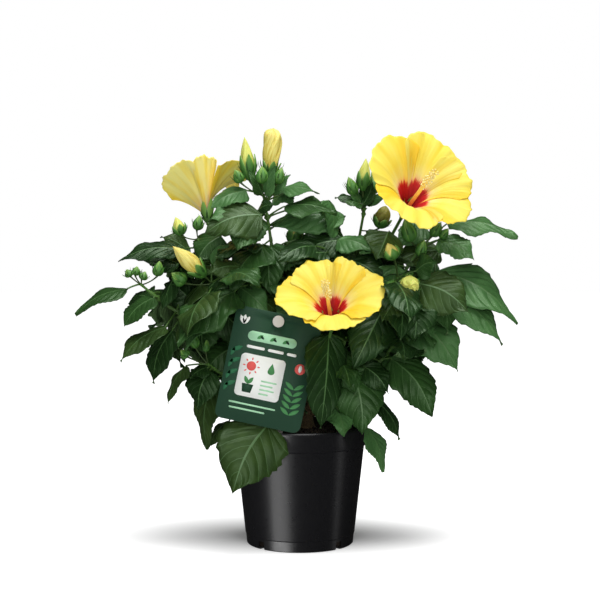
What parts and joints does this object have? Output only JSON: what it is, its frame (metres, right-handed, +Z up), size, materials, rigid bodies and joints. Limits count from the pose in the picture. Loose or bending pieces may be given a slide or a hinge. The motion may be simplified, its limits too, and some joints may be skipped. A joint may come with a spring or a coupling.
{
  "type": "potted hibiscus shrub in flower",
  "caption": "Bushy hibiscus with glossy toothed leaves, large open flowers and buds, in a round nursery pot with a care card on a stick.",
  "frame": {"origin": "centre of the pot's flat underside", "axes": "+Z up along the pot's axis; the care card faces -Y and +X is to the right as it is read"},
  "size_m": [0.418, 0.2957, 0.404],
  "materials": {
    "pot": "satin",
    "soil": "rough, crumbly",
    "card": "semi-gloss print",
    "stick": "satin",
    "bark": "fine bark",
    "leaf": "glossy leaf",
    "petal": "silky petal"
  },
  "bodies": {
    "root": {"pot": "pot", "potting_soil": "soil", "label": "card", "label_stick": "stick", "main_stem": "bark", "bough_left": "bark", "bough_left_low": "bark", "bough_left_top": "bark", "bough_top": "bark", "bough_right_top": "bark", "bough_right": "bark", "bough_right_low": "bark", "bough_front": "bark", "bough_back_right": "bark", "bough_back": "bark", "bough_back_left": "bark", "bloom_right": "petal", "bloom_front": "petal", "bloom_left": "petal", "foliage_left_low": "leaf", "foliage_left_bottom": "leaf", "foliage_left_upper": "leaf", "foliage_left_front": "leaf", "foliage_top": "leaf", "foliage_centre_left": "leaf", "foliage_centre_back": "leaf", "foliage_centre_right": "leaf", "foliage_centre_front": "leaf", "foliage_right_top": "leaf", "foliage_right_mid": "leaf", "foliage_right_out": "leaf", "foliage_right_low": "leaf", "foliage_front": "leaf", "foliage_inner_left": "leaf", "foliage_inner_right": "leaf", "foliage_inner_front": "leaf", "foliage_back_1": "leaf", "foliage_back_2": "leaf", "foliage_back_3": "leaf", "foliage_back_4": "leaf", "foliage_back_5": "leaf", "foliage_back_6": "leaf"}
  },
  "joints": []
}
